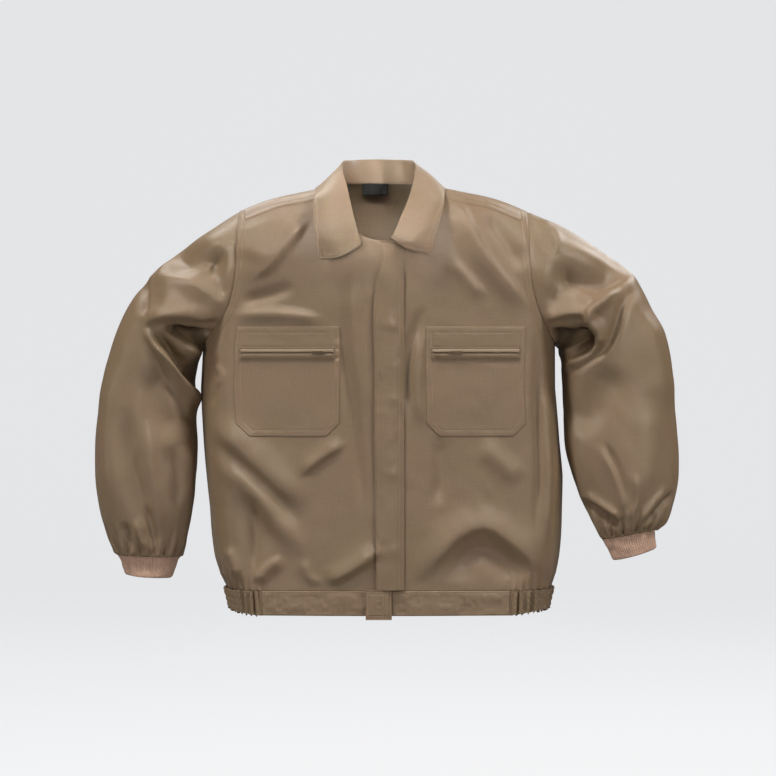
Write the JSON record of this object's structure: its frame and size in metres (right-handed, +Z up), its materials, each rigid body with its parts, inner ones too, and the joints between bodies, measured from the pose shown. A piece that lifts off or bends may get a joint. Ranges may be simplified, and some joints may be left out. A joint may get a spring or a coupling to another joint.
{
  "type": "work jacket",
  "caption": "Khaki twill work jacket with shirt collar, concealed snap front, zipped chest pockets, rib cuffs and a waistband with elastic sides.",
  "frame": {"origin": "middle of the neck opening, level with the back neck seam, where the wearer's shoulders or a hanger hold the jacket", "axes": "+Z up as worn, front towards -Y, +X towards the wearer's left"},
  "size_m": [0.87, 0.2183, 0.6813],
  "materials": {
    "twill": "khaki polyester and cotton twill with a soft sheen",
    "rib_knit": "matt rib knit",
    "zip_tape": "woven tape",
    "zip_nylon": "moulded coil",
    "zip_metal": "dulled plating",
    "snap_metal": "nickel plating",
    "webbing": "woven elastic",
    "label": "plain woven satin label"
  },
  "bodies": {
    "torso": {"back_panel": "twill", "front_panel_left": "twill", "front_panel_right": "twill", "snap_stand": "twill", "waistband_front_left": "twill", "waistband_front_right": "twill", "waistband_back": "twill", "elastic_casing_left": "twill", "elastic_casing_right": "twill", "pocket_patch_left": "twill", "pocket_patch_right": "twill", "collar_stand": "twill", "collar_leaf": "twill", "snap_stud_1": "snap_metal", "snap_stud_2": "snap_metal", "snap_stud_3": "snap_metal", "snap_stud_4": "snap_metal", "snap_stud_5": "snap_metal", "elastic_webbing_left": "webbing", "zip_tape_upper_left": "zip_tape", "zip_teeth_upper_left": "zip_nylon", "zip_tape_lower_left": "zip_tape", "zip_teeth_lower_left": "zip_nylon", "elastic_webbing_right": "webbing", "zip_tape_upper_right": "zip_tape", "zip_teeth_upper_right": "zip_nylon", "zip_tape_lower_right": "zip_tape", "zip_teeth_lower_right": "zip_nylon", "tab_snap_stud": "snap_metal", "neck_label": "label", "side_label": "label"},
    "sleeve_left": {"sleeve_left": "twill", "cuff_left": "rib_knit"},
    "sleeve_right": {"sleeve_right": "twill", "cuff_right": "rib_knit"},
    "fly": {"fly_strip": "twill", "snap_socket_1": "snap_metal", "snap_socket_2": "snap_metal", "snap_socket_3": "snap_metal", "snap_socket_4": "snap_metal", "snap_socket_5": "snap_metal"},
    "tab": {"waistband_tab": "twill", "tab_snap_socket": "snap_metal"},
    "slider_left": {"zip_slider_left": "zip_metal"},
    "pull_left": {"zip_pull_left": "zip_metal"},
    "slider_right": {"zip_slider_right": "zip_metal"},
    "pull_right": {"zip_pull_right": "zip_metal"}
  },
  "joints": [
    {"name": "sleeve_left_raise", "type": "hinge", "parent": "torso", "child": "sleeve_left", "pos_m": [0.216, 0, -0.05712], "axis": [0, -1, 0], "range_deg": [0, 50]},
    {"name": "sleeve_right_raise", "type": "hinge", "parent": "torso", "child": "sleeve_right", "pos_m": [-0.216, 0, -0.05712], "axis": [0, 1, 0], "range_deg": [0, 50]},
    {"name": "fly_fold", "type": "hinge", "parent": "torso", "child": "fly", "pos_m": [0.031, -0.10999, -0.3497], "axis": [0, 0.04, 0.9992], "range_deg": [0, 120]},
    {"name": "tab_open", "type": "hinge", "parent": "torso", "child": "tab", "pos_m": [0.013, -0.12023, -0.6257], "axis": [0, 0.04, 0.9992], "range_deg": [0, 120]},
    {"name": "zip_left_run", "type": "slide", "parent": "torso", "child": "slider_left", "axis": [0.9976, 0.0698, 0], "range_m": [0, 0.098]},
    {"name": "pull_left_swing", "type": "hinge", "parent": "slider_left", "child": "pull_left", "pos_m": [0.09928, -0.10023, -0.25779], "axis": [0.0028, -0.0399, -0.9992], "range_deg": [0, 170]},
    {"name": "zip_right_run", "type": "slide", "parent": "torso", "child": "slider_right", "axis": [-0.9976, 0.0698, 0], "range_m": [0, 0.11]},
    {"name": "pull_right_swing", "type": "hinge", "parent": "slider_right", "child": "pull_right", "pos_m": [-0.08731, -0.10107, -0.25779], "axis": [0.0028, 0.0399, 0.9992], "range_deg": [0, 170]}
  ]
}
